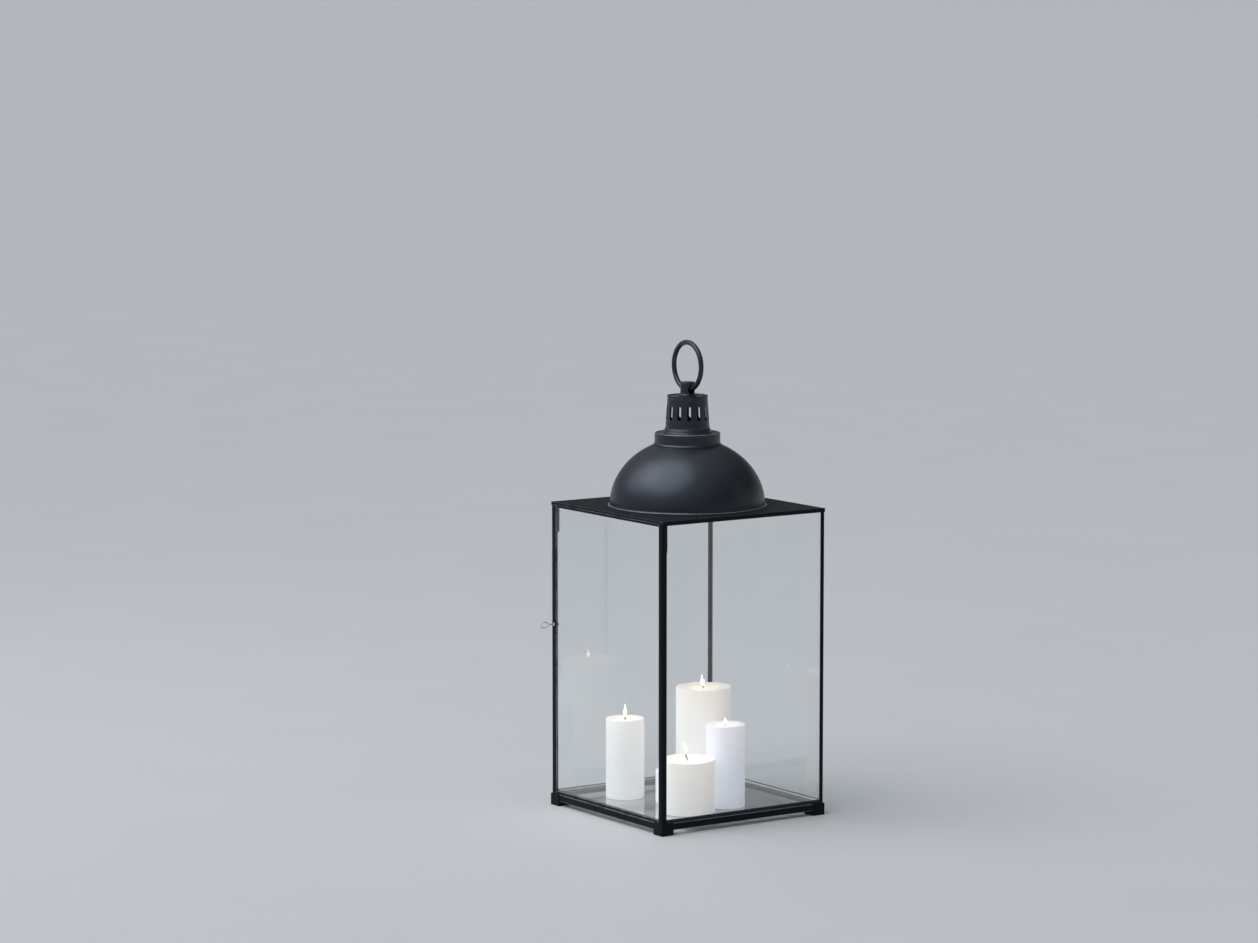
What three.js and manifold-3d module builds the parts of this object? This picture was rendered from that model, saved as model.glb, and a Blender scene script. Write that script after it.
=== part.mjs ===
// Square hurricane lantern: a glazed box on four feet, a door in its left face, a domed
// roof with a slotted vent cap and a ring handle, and five pillar candles on its glass floor.
// Millimetres, +Z up. The feet stand on z = 0 and the glass box is centred on the Z axis.
// Front is -Y, and the door is in the -X face, hinged at the front and caught at the back.
import * as THREE from "three";
import { mergeVertices } from "three/addons/utils/BufferGeometryUtils.js";
import Module from "manifold-3d";

const wasm = await Module();
wasm.setup();

// ---- driving dimensions ----

const GAP = 0.3; // running gap between neighbouring pieces
const HALF = 177; // half the width of the glass box, to the outer faces of its posts
const SHEET = 1.6; // wall of every folded section
const GLASS = 3; // fixed panes and floor pane

const FOOT = { half: 179, width: 26, height: 21.5 };
const BASE = { half: 177.5, bottom: 9, wall: 2, leg: 18 }; // angle rails between the feet
const FLOOR_Z = FOOT.height + GAP; // underside of the floor pane, sills and posts
const SILL_TOP = 27.4;

const POST_LEG = 8;
const DOOR_POST_LEG = 10; // the face leg of the two posts beside the door
const POST_TOP = 551.7;
const BRACKET = { leg: 6.3, wall: 1.2, height: 48 };

const RIM = { half: 177.6, bottom: 552, seat: 557.5, top: 559.2, leg: 18 };
const PANE_FACE = HALF - SHEET - GAP; // outer face of the fixed panes
const PANE_BACK = PANE_FACE - GLASS; // their inner face
const PANE_Z = [FLOOR_Z + 1.4 + GAP, 555.4];
const ROOF_PLATE = { half: RIM.half - SHEET - GAP, bottom: 557.8, thickness: 1.4, hole: 132 };

// The leaf lies flush with the box, in a rebate of the two door-side posts.
const DOOR = {
  thickness: 5.4,
  bottom: 22.2,
  top: 554.8,
  front: -HALF + 1.9, // tip of the hinge stile's rounded nose
  back: HALF - 2.1,
  hingeStile: 9,
  catchStile: 12,
  rail: 5.2,
  groove: 3,
  grooveDepth: 2.5,
  pane: 2.5,
};
const LEAF_X = [-HALF, -HALF + DOOR.thickness];
const LEAF_MID = -HALF + DOOR.thickness / 2;
const HINGE_Y = DOOR.front + DOOR.thickness / 2;
const STOP_X = [LEAF_X[1] + 0.4, LEAF_X[1] + 0.4 + SHEET]; // the posts' leg behind the leaf
const PIN = { radius: 1.2, hole: 1.5, engaged: 8.8 };

const CATCH = { y: HALF - 9.4, z: 335, spindle: 1.5, hole: 1.9, wire: 0.9 };
const CATCH_STOP_LEG = 5.6; // the shorter leg behind the catch stile, which the tongue grips
const TONGUE = { halfWidth: 1.6, reach: 3.9, thickness: 1.5 };
const LOOP = { near: -HALF - 14, far: -HALF - 30, halfHeight: 5.4 };

const DOME = { z: 559.5, radius: 140.5, rise: 121.5, wall: 1.5, mouth: 52 };
const COLLAR = { bottom: 670.6, radius: 59.3, wall: 1.5, hole: 38.5, edge: 691, top: 698.9 };
const VENT = { bottom: COLLAR.top + GAP, top: 755.2, lower: 39.9, upper: 36.2, wall: 1.3 };
const SLOT = { count: 13, width: 6.5, height: 26, middle: 727, phaseDeg: -2.7 };
const LID = { bottom: 755.5, radius: 36.8 };
const BOSS = { bottom: 757.6, top: 782.4, radius: 13.3 };
const RING = { radius: 42.5, wire: 4.5, z: 811 };

const FLOOR_TOP = FLOOR_Z + GLASS;
const WICK = { radius: 1.15, hole: 1.6, sunk: 11, proud: 8 };
const CANDLES = [
  { name: "left_slim", x: -97, y: 55, radius: 35, height: 146 },
  { name: "tall", x: 26, y: -13.5, radius: 50, height: 202 },
  { name: "low", x: -82, y: -117.5, radius: 50, height: 96 },
  { name: "right_slim", x: 4, y: -114, radius: 35, height: 150 },
  { name: "stub", x: -53, y: -31.5, radius: 30, height: 60 },
];

// ---- materials ----

const coated = () => new THREE.MeshStandardMaterial({ color: 0x1c1d20, roughness: 0.6, metalness: 0.4 });
const steel = () => new THREE.MeshStandardMaterial({ color: 0x9a9ca0, roughness: 0.35, metalness: 1 });
const wax = () => new THREE.MeshStandardMaterial({ color: 0xf2eee0, roughness: 0.5 });
const cotton = () => new THREE.MeshStandardMaterial({ color: 0x2b2622, roughness: 0.9 });
const glass = () =>
  new THREE.MeshStandardMaterial({ color: 0xcfdad6, roughness: 0.05, transparent: true, opacity: 0.3 });

// ---- solids ----

// A three.js geometry as a manifold solid, turned the right way round if its faces point inwards.
function solid(geometry) {
  const bare = new THREE.BufferGeometry().setAttribute("position", geometry.getAttribute("position"));
  if (geometry.index) bare.setIndex(geometry.index);
  const merged = mergeVertices(bare, 1e-4);
  const triVerts = new Uint32Array(merged.index.array);
  const vertProperties = new Float32Array(merged.attributes.position.array);
  const make = () => new wasm.Manifold(new wasm.Mesh({ numProp: 3, vertProperties, triVerts }));
  const first = make();
  if (first.volume() > 0) return first;
  triVerts.reverse();
  return make();
}

function box([x0, x1], [y0, y1], [z0, z1]) {
  const geometry = new THREE.BoxGeometry(x1 - x0, y1 - y0, z1 - z0);
  return solid(geometry.translate((x0 + x1) / 2, (y0 + y1) / 2, (z0 + z1) / 2));
}

// A plan outline of x, y points, standing from z0 to z1.
function upright(points, z0, z1) {
  const shape = new THREE.Shape(points.map(([x, y]) => new THREE.Vector2(x, y)));
  const geometry = new THREE.ExtrudeGeometry(shape, { depth: z1 - z0, bevelEnabled: false });
  return solid(geometry.translate(0, 0, z0));
}

// A section of depth, z points, whose depth runs inward from the front face at -Y, drawn out
// along X from x0 to x1.
function frontBar(section, face, x0, x1) {
  const shape = new THREE.Shape(section.map(([d, z]) => new THREE.Vector2(d - face, z)));
  const geometry = new THREE.ExtrudeGeometry(shape, { depth: x1 - x0, bevelEnabled: false });
  const axes = new THREE.Matrix4().makeBasis(
    new THREE.Vector3(0, 1, 0),
    new THREE.Vector3(0, 0, 1),
    new THREE.Vector3(1, 0, 0),
  );
  return solid(geometry.applyMatrix4(axes).translate(x0, 0, 0));
}

// A closed or axis-to-axis profile of radius, z points, turned about Z.
function turned(profile, segments) {
  const points = profile.map(([r, z]) => new THREE.Vector2(r, z));
  return solid(new THREE.LatheGeometry(points, segments).rotateX(Math.PI / 2));
}

function rod(radius, length, axis, centre, segments = 16) {
  const geometry = new THREE.CylinderGeometry(radius, radius, length, segments);
  if (axis === "x") geometry.rotateZ(Math.PI / 2);
  if (axis === "z") geometry.rotateX(Math.PI / 2);
  return solid(geometry.translate(...centre));
}

const quarterTurns = (body, n) => body.rotate([0, 0, 90 * n]);
const closed = (points) => [...points, points[0]];

const root = new THREE.Group();
root.name = "hurricane_lantern";

function add(name, body, material) {
  const { numProp, numVert, vertProperties, triVerts } = body.getMesh();
  const position = new Float32Array(numVert * 3);
  for (let i = 0; i < numVert; i++) position.set(vertProperties.subarray(i * numProp, i * numProp + 3), i * 3);
  const geometry = new THREE.BufferGeometry();
  geometry.setAttribute("position", new THREE.BufferAttribute(position, 3));
  geometry.setIndex(new THREE.BufferAttribute(triVerts, 1));
  const flat = geometry.toNonIndexed();
  flat.computeVertexNormals();
  const mesh = new THREE.Mesh(flat, material);
  mesh.name = name;
  root.add(mesh);
}

// ---- base ----

const SIDES = ["front", "right", "back", "left"]; // a quarter turn apart, about +Z
const CORNERS = ["front_right", "back_right", "back_left", "front_left"];

function addFeet() {
  const span = [FOOT.half - FOOT.width, FOOT.half];
  const block = box(span, [-span[1], -span[0]], [0, FOOT.height]);
  CORNERS.forEach((corner, n) => {
    const foot = quarterTurns(block, n);
    add(`foot_${corner}`, corner === "front_left" ? foot.subtract(lowerPinHole()) : foot, coated());
  });
}

function addBaseRails() {
  const { half, bottom, wall, leg } = BASE;
  const top = FOOT.height;
  const section = [
    [0, bottom],
    [wall, bottom],
    [wall, top - wall],
    [leg, top - wall],
    [leg, top],
    [0, top],
  ];
  const end = FOOT.half - FOOT.width - GAP;
  const rail = frontBar(section, half, -end, end);
  SIDES.forEach((side, n) => add(`base_rail_${side}`, quarterTurns(rail, n), coated()));
}

function addFloor() {
  const edge = HALF - 6.8 - GAP;
  const doorEdge = STOP_X[0] + 3 + GAP;
  add("floor_pane", box([doorEdge, edge], [-edge, edge], [FLOOR_Z, FLOOR_TOP]), glass());
}

function addSills() {
  const inner = HALF - PANE_BACK + GAP;
  const section = [
    [0, FLOOR_Z],
    [inner + SHEET, FLOOR_Z],
    [inner + SHEET, SILL_TOP],
    [inner, SILL_TOP],
    [inner, FLOOR_Z + 1.4],
    [SHEET, FLOOR_Z + 1.4],
    [SHEET, SILL_TOP],
    [0, SILL_TOP],
  ];
  const glazedEnd = HALF - POST_LEG - GAP;
  const doorEnd = HALF - DOOR_POST_LEG - GAP;
  const sill = (x0, x1) => frontBar(section, HALF, x0, x1);
  add("sill_front", sill(-doorEnd, glazedEnd), coated());
  add("sill_right", quarterTurns(sill(-glazedEnd, glazedEnd), 1), coated());
  add("sill_back", quarterTurns(sill(-glazedEnd, doorEnd), 2), coated());
  const inside = HALF - SHEET;
  const between = [-inside + POST_LEG + GAP, inside - CATCH_STOP_LEG - GAP];
  add("door_sill", box([STOP_X[0], STOP_X[0] + 3], between, [FLOOR_Z, SILL_TOP]), coated());
}

// ---- posts, panes and brackets ----

// The plain angle of a glazed corner, with its outer arris rounded.
function glazedPost() {
  const leg = HALF - POST_LEG;
  const inside = HALF - SHEET;
  return upright(
    [
      [leg, -HALF],
      [HALF - 1.5, -HALF],
      [HALF - 0.45, -HALF + 0.45],
      [HALF, -HALF + 1.5],
      [HALF, -leg],
      [inside, -leg],
      [inside, -inside],
      [leg, -inside],
    ],
    FLOOR_Z,
    POST_TOP,
  );
}

// A door-side corner at the front: one leg on the face, the other set back behind the leaf.
function rebatedPost(stopLeg) {
  const inside = HALF - SHEET;
  return upright(
    [
      [-HALF, -HALF + 1],
      [-HALF + 1, -HALF],
      [-HALF + DOOR_POST_LEG, -HALF],
      [-HALF + DOOR_POST_LEG, -inside],
      [STOP_X[1], -inside],
      [STOP_X[1], -inside + stopLeg],
      [STOP_X[0], -inside + stopLeg],
      [STOP_X[0], -inside],
      [-HALF, -inside],
    ],
    FLOOR_Z,
    POST_TOP,
  );
}

function addPosts() {
  add("post_front_right", glazedPost(), coated());
  add("post_back_right", quarterTurns(glazedPost(), 1), coated());
  add("post_front_left", rebatedPost(POST_LEG), coated());
  add("post_back_left", rebatedPost(CATCH_STOP_LEG).mirror([0, 1, 0]), coated());
}

function addPanes() {
  const across = [STOP_X[1] + GAP, PANE_BACK - GAP];
  const along = PANE_FACE - 0.1;
  add("pane_front", box(across, [-PANE_FACE, -PANE_BACK], PANE_Z), glass());
  add("pane_back", box(across, [PANE_BACK, PANE_FACE], PANE_Z), glass());
  add("pane_right", box([PANE_BACK, PANE_FACE], [-along, along], PANE_Z), glass());
}

// A small angle behind the top of each door-side post. Its outside corner points at the post.
function doorBracket() {
  const x = STOP_X[1] + GAP;
  const y = -PANE_BACK + GAP;
  const { leg, wall, height } = BRACKET;
  return upright(
    [
      [x, y],
      [x + leg, y],
      [x + leg, y + wall],
      [x + wall, y + wall],
      [x + wall, y + leg],
      [x, y + leg],
    ],
    POST_TOP - height,
    POST_TOP,
  );
}

function addBrackets() {
  add("bracket_front_left", doorBracket(), coated());
  add("bracket_back_left", doorBracket().mirror([0, 1, 0]), coated());
}

// ---- roof rim and plate ----

const rimWeb = RIM.seat - 1.4;

// A glazed side: face wall, seat for the plate, and an inner wall that closes the pane's channel.
function glazedRimSection() {
  const inner = RIM.half - PANE_BACK + GAP;
  return [
    [0, RIM.bottom],
    [SHEET, RIM.bottom],
    [SHEET, rimWeb],
    [inner, rimWeb],
    [inner, RIM.bottom],
    [inner + 1.4, RIM.bottom],
    [inner + 1.4, rimWeb],
    [RIM.leg, rimWeb],
    [RIM.leg, RIM.seat],
    [SHEET, RIM.seat],
    [SHEET, RIM.top],
    [0, RIM.top],
  ];
}

// The door's side: the face wall ends above the leaf, and a lip behind the leaf stops it.
function doorRimSection() {
  const lip = RIM.half + STOP_X[0];
  const faceBottom = DOOR.top + 0.4;
  return [
    [0, faceBottom],
    [SHEET, faceBottom],
    [SHEET, rimWeb],
    [lip, rimWeb],
    [lip, RIM.bottom],
    [lip + 1.4, RIM.bottom],
    [lip + 1.4, rimWeb],
    [RIM.leg, rimWeb],
    [RIM.leg, RIM.seat],
    [SHEET, RIM.seat],
    [SHEET, RIM.top],
    [0, RIM.top],
  ];
}

function addRim() {
  const reach = RIM.half + 1;
  const mitre = upright(
    [
      [0, -0.2],
      [-reach, -reach - 0.2],
      [reach, -reach - 0.2],
    ],
    RIM.bottom - 1,
    RIM.top + 1,
  );
  const glazed = frontBar(glazedRimSection(), RIM.half, -RIM.half, RIM.half).intersect(mitre);
  const overDoor = frontBar(doorRimSection(), RIM.half, -RIM.half, RIM.half).intersect(mitre);
  // The leaf's corners pass through where the neighbouring channels would end.
  const inside = RIM.half - SHEET;
  const leafRoom = box([-RIM.half, STOP_X[0]], [-inside, inside], [RIM.bottom - 1, DOOR.top + 0.6]);
  const pinRoom = upperPinHole();
  add("rim_front", glazed.subtract(leafRoom).subtract(pinRoom), coated());
  add("rim_right", quarterTurns(glazed, 1), coated());
  add("rim_back", quarterTurns(glazed, 2).subtract(leafRoom), coated());
  add("rim_left", quarterTurns(overDoor, 3).subtract(pinRoom), coated());
}

function addRoofPlate() {
  const { half, bottom, thickness, hole } = ROOF_PLATE;
  const plate = box([-half, half], [-half, half], [bottom, bottom + thickness]);
  const cut = rod(hole, 4 * thickness, "z", [0, 0, bottom + thickness / 2], 56);
  add("roof_plate", plate.subtract(cut), coated());
}

// ---- door ----

function lowerPinHole() {
  const depth = PIN.engaged + GAP;
  return rod(PIN.hole, depth, "z", [LEAF_MID, HINGE_Y, FOOT.height - depth / 2 + 0.05]);
}

function upperPinHole() {
  return rod(PIN.hole, 4, "z", [LEAF_MID, HINGE_Y, RIM.seat - 0.7]);
}

function hingeStile() {
  const radius = DOOR.thickness / 2;
  const edge = DOOR.front + DOOR.hingeStile;
  const nose = [];
  for (let i = 0; i <= 12; i++) {
    const angle = Math.PI + (i / 12) * Math.PI;
    nose.push([LEAF_MID + radius * Math.cos(angle), HINGE_Y + radius * Math.sin(angle)]);
  }
  const groove = [
    [LEAF_MID + DOOR.groove / 2, edge],
    [LEAF_MID + DOOR.groove / 2, edge - DOOR.grooveDepth],
    [LEAF_MID - DOOR.groove / 2, edge - DOOR.grooveDepth],
    [LEAF_MID - DOOR.groove / 2, edge],
  ];
  const outline = [...nose, [LEAF_X[1], edge], ...groove, [LEAF_X[0], edge]];
  const depth = PIN.engaged + GAP;
  const lower = rod(PIN.hole, depth, "z", [LEAF_MID, HINGE_Y, DOOR.bottom + depth / 2 - 0.05]);
  const upper = rod(PIN.hole, depth, "z", [LEAF_MID, HINGE_Y, DOOR.top - depth / 2 + 0.05]);
  return upright(outline, DOOR.bottom, DOOR.top).subtract(lower).subtract(upper);
}

function catchStile() {
  const edge = DOOR.back - DOOR.catchStile;
  const bar = box(LEAF_X, [edge, DOOR.back], [DOOR.bottom, DOOR.top]);
  const grooveX = [LEAF_MID - DOOR.groove / 2, LEAF_MID + DOOR.groove / 2];
  const groove = box(grooveX, [edge - 1, edge + DOOR.grooveDepth], [DOOR.bottom - 1, DOOR.top + 1]);
  const hole = rod(CATCH.hole, 10, "x", [LEAF_MID, CATCH.y, CATCH.z]);
  return bar.subtract(groove).subtract(hole);
}

// A rail between the stiles; the groove is cut in its upper or its lower edge.
function doorRail(z0, grooveUp) {
  const y = [DOOR.front + DOOR.hingeStile + GAP, DOOR.back - DOOR.catchStile - GAP];
  const grooveX = [LEAF_MID - DOOR.groove / 2, LEAF_MID + DOOR.groove / 2];
  const z1 = z0 + DOOR.rail;
  const grooveZ = grooveUp ? [z1 - DOOR.grooveDepth, z1 + 1] : [z0 - 1, z0 + DOOR.grooveDepth];
  return box(LEAF_X, y, [z0, z1]).subtract(box(grooveX, [y[0] - 1, y[1] + 1], grooveZ));
}

function addDoor() {
  add("door_hinge_stile", hingeStile(), coated());
  add("door_catch_stile", catchStile(), coated());
  add("door_bottom_rail", doorRail(DOOR.bottom, true), coated());
  add("door_top_rail", doorRail(DOOR.top - DOOR.rail, false), coated());
  const inset = DOOR.grooveDepth - GAP;
  const pane = box(
    [LEAF_MID - DOOR.pane / 2, LEAF_MID + DOOR.pane / 2],
    [DOOR.front + DOOR.hingeStile - inset, DOOR.back - DOOR.catchStile + inset],
    [DOOR.bottom + DOOR.rail - inset, DOOR.top - DOOR.rail + inset],
  );
  add("door_pane", pane, glass());
}

function addPivotPins() {
  const low = [FOOT.height - PIN.engaged, DOOR.bottom + PIN.engaged];
  const high = [DOOR.top - PIN.engaged, RIM.seat];
  [
    ["lower", low],
    ["upper", high],
  ].forEach(([name, [z0, z1]]) => {
    const pin = rod(PIN.radius, z1 - z0, "z", [LEAF_MID, HINGE_Y, (z0 + z1) / 2]);
    add(`pivot_pin_${name}`, pin, steel());
  });
}

// ---- catch ----

function loopWire() {
  const { near, far, halfHeight } = LOOP;
  const turn = (t, x, h) => new THREE.Vector3(x, CATCH.y, CATCH.z + t * h);
  const path = new THREE.CatmullRomCurve3([
    turn(1, near + 1.5, 0.5),
    turn(1, near - 2.5, 0.68 * halfHeight),
    turn(1, (near + far) / 2, halfHeight),
    turn(1, far + 2.6, 0.72 * halfHeight),
    turn(1, far, 0),
    turn(-1, far + 2.6, 0.72 * halfHeight),
    turn(-1, (near + far) / 2, halfHeight),
    turn(-1, near - 2.5, 0.68 * halfHeight),
    turn(-1, near + 1.5, 0.5),
  ]);
  const disc = new THREE.Shape().absarc(0, 0, CATCH.wire, 0, 2 * Math.PI);
  const options = { steps: 32, curveSegments: 4, bevelEnabled: false, extrudePath: path };
  return solid(new THREE.ExtrudeGeometry(disc, options));
}

function addCatch() {
  const { y, z } = CATCH;
  const plate = box([-HALF - 1.3, -HALF - GAP], [y - 4.6, y + 4.6], [z - 7.2, z + 7.2]);
  const hole = rod(CATCH.hole, 4, "x", [-HALF - 1, y, z]);
  add("catch_plate", plate.subtract(hole), coated());

  const tongueX = [STOP_X[1] + 0.4, STOP_X[1] + 0.4 + TONGUE.thickness];
  const spindleEnd = tongueX[0] - GAP;
  const length = spindleEnd - (LOOP.near + 1);
  const spindle = rod(CATCH.spindle, length, "x", [spindleEnd - length / 2, y, z]);
  const head = rod(2, 3, "x", [LOOP.near + 1, y, z]);
  add("catch_loop", spindle.add(head).add(loopWire()), steel());

  const { halfWidth, reach } = TONGUE;
  const tongue = box(tongueX, [y - halfWidth, y + halfWidth], [z - reach, z + halfWidth]);
  add("catch_tongue", tongue, steel());
}

// ---- dome, collar, vent cap, boss and ring ----

function domeArc(radius, rise, fromZ, toRadius, steps) {
  const start = Math.asin((fromZ - DOME.z) / rise);
  const end = Math.acos(toRadius / radius);
  const points = [];
  for (let i = 0; i <= steps; i++) {
    const t = start + ((end - start) * i) / steps;
    points.push([radius * Math.cos(t), DOME.z + rise * Math.sin(t)]);
  }
  return points;
}

function addDome() {
  const { z, radius, rise, wall, mouth } = DOME;
  const flange = [
    [radius - wall, z],
    [radius + 2.7, z],
    [radius + 3, z + 0.6],
    [radius + 2.6, z + 1.2],
    [radius + 0.9, z + 1.5],
  ];
  const outside = domeArc(radius, rise, z + 3, mouth, 16);
  const inside = domeArc(radius - wall, rise - wall, z + 3, mouth, 16).reverse();
  add("dome", turned(closed([...flange, ...outside, ...inside]), 56), coated());
}

// A flared hem lies along the dome. Above the upright side a short neck sweeps up to the vent cap.
function addCollar() {
  const { bottom, radius, wall, hole, edge, top } = COLLAR;
  const profile = [
    [radius - wall, bottom],
    [radius + 2.1, bottom - 1.5],
    [radius + 2.3, bottom - 0.9],
    [radius + 1.5, bottom + 0.2],
    [radius + 0.6, bottom + 1.3],
    [radius, bottom + 2.8],
    [radius, edge - 2.4],
    [radius - 0.5, edge - 0.7],
    [radius - 1.8, edge],
    [radius - 3.4, edge - 0.3],
    [radius - 4.6, edge - 0.9],
    [radius - 12.5, edge - 0.6],
    [radius - 14.6, edge + 0.4],
    [radius - 16.2, edge + 2.4],
    [radius - 17.3, edge + 4.9],
    [radius - 18.1, edge + 7],
    [radius - 18.8, top],
    [hole, top],
    [hole, edge + 4],
    [radius - 19, edge + 0.6],
    [radius - 16, edge - 1.9],
    [radius - 4, edge - 2.4],
    [radius - wall, edge - 4.4],
  ];
  add("collar", turned(closed(profile), 48), coated());
}

function slotCutter() {
  const round = SLOT.width / 2;
  const straight = SLOT.height / 2 - round;
  const shape = new THREE.Shape();
  shape.absarc(0, straight, round, 0, Math.PI);
  shape.absarc(0, -straight, round, Math.PI, 2 * Math.PI);
  const options = { depth: 16, bevelEnabled: false, curveSegments: 5 };
  const geometry = new THREE.ExtrudeGeometry(shape, options);
  return solid(geometry.rotateX(Math.PI / 2).translate(0, -30, SLOT.middle));
}

function addVentCap() {
  const { bottom, top, lower, upper, wall } = VENT;
  const profile = [
    [lower - wall, bottom],
    [lower, bottom],
    [upper, top],
    [upper - wall, top],
  ];
  let cap = turned(closed(profile), 48);
  const cutter = slotCutter();
  for (let i = 0; i < SLOT.count; i++) {
    cap = cap.subtract(cutter.rotate([0, 0, SLOT.phaseDeg + (360 / SLOT.count) * i]));
  }
  add("vent_cap", cap, coated());
}

function addCapLid() {
  const { bottom, radius } = LID;
  const profile = [
    [0, bottom],
    [radius - 0.8, bottom],
    [radius, bottom + 0.6],
    [radius, bottom + 2.2],
    [radius - 0.5, bottom + 2.7],
    [radius - 1.3, bottom + 2.6],
    [radius - 1.8, bottom + 1.8],
    [0, bottom + 1.8],
  ];
  add("cap_lid", turned(profile, 48), coated());
}

// The boss's cross hole opens towards both ends, so that the curved ring swings in it freely.
function ringHole() {
  const points = [new THREE.Vector2(0, -16)];
  for (let y = -16; y <= 16; y += 4) {
    const slope = Math.asin(y / RING.radius);
    const sag = RING.radius * (1 - Math.cos(slope));
    points.push(new THREE.Vector2(RING.wire / Math.cos(slope) + sag + 0.6, y));
  }
  points.push(new THREE.Vector2(0, 16));
  return solid(new THREE.LatheGeometry(points, 24).translate(0, 0, RING.z - RING.radius));
}

function addBoss() {
  const { bottom, top, radius } = BOSS;
  const profile = [
    [0, bottom],
    [radius + 4, bottom],
    [radius + 4, bottom + 1.1],
    [radius + 1.6, bottom + 2.2],
    [radius + 0.2, bottom + 4.4],
    [radius - 0.2, bottom + 8],
    [radius, top - 2],
    [radius - 0.4, top - 0.7],
    [radius - 1.6, top],
    [0, top],
  ];
  add("boss", turned(profile, 40).subtract(ringHole()), coated());
}

function addRing() {
  const geometry = new THREE.TorusGeometry(RING.radius, RING.wire, 12, 44);
  add("ring_handle", solid(geometry.rotateY(Math.PI / 2).translate(0, 0, RING.z)), coated());
}

// ---- candles ----

// A pillar with a dished melt pool and a small socket for its wick.
function candleBody({ radius, height }, z0) {
  const top = z0 + height;
  const dish = top - 4.4;
  const profile = [
    [0, z0],
    [radius - 1.5, z0],
    [radius, z0 + 1.5],
    [radius, top - 2.4],
    [radius - 0.8, top - 0.7],
    [radius - 2.6, top],
    [0.82 * radius, top - 0.6],
    [0.7 * radius, top - 3],
    [0.4 * radius, dish],
    [WICK.hole, dish],
    [WICK.hole, dish - WICK.sunk - GAP],
    [0, dish - WICK.sunk - GAP],
  ];
  return turned(profile, 36);
}

function addCandles() {
  const z0 = FLOOR_TOP + GAP;
  for (const candle of CANDLES) {
    add(`candle_${candle.name}`, candleBody(candle, z0).translate([candle.x, candle.y, 0]), wax());
    const dish = z0 + candle.height - 4.4;
    const length = WICK.sunk + WICK.proud;
    const middle = dish - WICK.sunk + length / 2;
    add(`wick_${candle.name}`, rod(WICK.radius, length, "z", [candle.x, candle.y, middle], 8), cotton());
  }
}

addFeet();
addBaseRails();
addFloor();
addSills();
addPosts();
addPanes();
addBrackets();
addRim();
addRoofPlate();
addDoor();
addPivotPins();
addCatch();
addDome();
addCollar();
addVentCap();
addCapLid();
addBoss();
addRing();
addCandles();

export default root;
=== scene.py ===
"""Looks for the hurricane lantern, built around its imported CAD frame. Metres, +Z up."""

import math

import bmesh
import bpy
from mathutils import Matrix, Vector, noise


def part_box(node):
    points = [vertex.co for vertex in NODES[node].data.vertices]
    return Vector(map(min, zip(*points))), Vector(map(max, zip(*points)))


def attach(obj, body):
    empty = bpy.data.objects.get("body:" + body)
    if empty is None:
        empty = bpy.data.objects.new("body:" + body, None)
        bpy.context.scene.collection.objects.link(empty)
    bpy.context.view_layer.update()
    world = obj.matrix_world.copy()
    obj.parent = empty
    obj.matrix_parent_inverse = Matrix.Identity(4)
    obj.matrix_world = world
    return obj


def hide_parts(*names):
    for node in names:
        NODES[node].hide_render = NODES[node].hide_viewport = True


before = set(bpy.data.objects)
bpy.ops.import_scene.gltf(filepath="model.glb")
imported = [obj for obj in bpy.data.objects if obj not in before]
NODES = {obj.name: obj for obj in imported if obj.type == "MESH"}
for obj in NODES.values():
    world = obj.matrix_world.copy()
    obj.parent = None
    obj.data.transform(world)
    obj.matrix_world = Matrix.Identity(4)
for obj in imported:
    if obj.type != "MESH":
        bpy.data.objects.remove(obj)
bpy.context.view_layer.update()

MM = 0.001
CORNERS = ("front_right", "back_right", "back_left", "front_left")
SIDES = ("front", "right", "back", "left")

# Details of the turned roof parts that their boxes don't give.
SHELL_WALL = 1.5 * MM
DOME_FLANGE = 3 * MM
DOME_MOUTH = 52 * MM
COLLAR_HOLE = 38.5 * MM
COLLAR_HEM = 2.3 * MM
COLLAR_NECK = 7.9 * MM
VENT_TOP_RADIUS = 36.2 * MM
SLOTS = {
    "count": 13,
    "width": 6.5 * MM,
    "height": 26 * MM,
    "middle": 27.8 * MM,
    "first": math.radians(-92.7),
}
BOSS_FLARE = 4 * MM
RING_WIRE = 4.5 * MM

# The catch loop's wire, and the height above which the inside of a sill carries a painted highlight.
LOOP_WIRE = 0.9 * MM
SILL_HIGHLIGHT_Z = 22.6 * MM

# How far, in millimetres, the edges of each kind of CAD node are rounded, how sharp such an edge
# has to be, and the degrees past which smooth shading breaks into a crease.
EASE = {"post": 0.3, "bar": 0.65, "block": 0.35, "plate": 0.3, "sill": 0.5, "pin": 0.2, "pane": 0.3}
EASE_ANGLE = math.radians(35)
CREASE = 40

# The candles: the depth of the dish in each top, the small step inside its rim, the depth of the
# melted wax, which way flames and wicks drift, and how each candle burns. The lengths of a wick,
# its flame and its lean are in millimetres, and a flame's foot is measured up from the dish.
DISH = 4.4 * MM
DISH_LIP = 0.15 * MM
POOL_DEPTH = 1.0 * MM
DRIFT = Vector((-0.83, 0.56, 0))
CANDLES = {
    "left_slim": {"seed": 1, "wax": "cool", "wick": 7, "foot": 2.5, "flame": 29.5, "lean": 0.3},
    "tall": {"seed": 2, "wax": "ivory", "wick": 7, "foot": 1.5, "flame": 26.8, "lean": 3.2},
    "low": {"seed": 3, "wax": "ivory", "wick": 12.5, "foot": 10.5, "flame": 25.5, "lean": 5.5},
    "right_slim": {"seed": 4, "wax": "lilac", "wick": 4.5, "foot": 1.0, "flame": 16, "lean": 1.2},
    "stub": {"seed": 5, "wax": "cool", "wick": 8, "foot": 0, "flame": 0, "lean": 1.5},
}

# How brightly wax glows with painted light, an emission that stands in for light passing through it: from
# the daylight round it, and more close to its flame. The painted flame glow fades over GLOW_REACH of the
# candle's radius, in the WARM colour.
WAX_PAINTED_DAYLIGHT_GLOW = 0.46
WAX_PAINTED_FLAME_GLOW = 0.16
GLOW_REACH = 0.8
WARM = (1.0, 0.84, 0.72, 1.0)

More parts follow.
